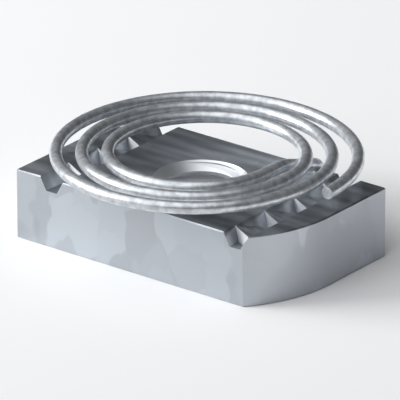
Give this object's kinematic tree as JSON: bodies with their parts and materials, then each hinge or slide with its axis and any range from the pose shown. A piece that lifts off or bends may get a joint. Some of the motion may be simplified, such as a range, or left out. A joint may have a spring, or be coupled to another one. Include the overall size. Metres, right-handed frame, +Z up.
{
  "type": "strut spring nut",
  "caption": "Steel channel nut with a central M10 tapped hole, two rows of gripping teeth and a flat wire spiral spring above it.",
  "frame": {"origin": "centre of the tapped hole at the nut's underside", "axes": "+X along the nut's length, +Y across it to the side where the spring's tail is held, +Z up through the toothed face to the spring"},
  "size_m": [0.0351, 0.033, 0.0115],
  "materials": {
    "nut_steel": "hot-dip galvanised, with a soft spangle",
    "spring_wire": "galvanised drawn wire, satin"
  },
  "bodies": {
    "root": {"channel_nut": "nut_steel", "top_spring": "spring_wire"}
  },
  "joints": []
}
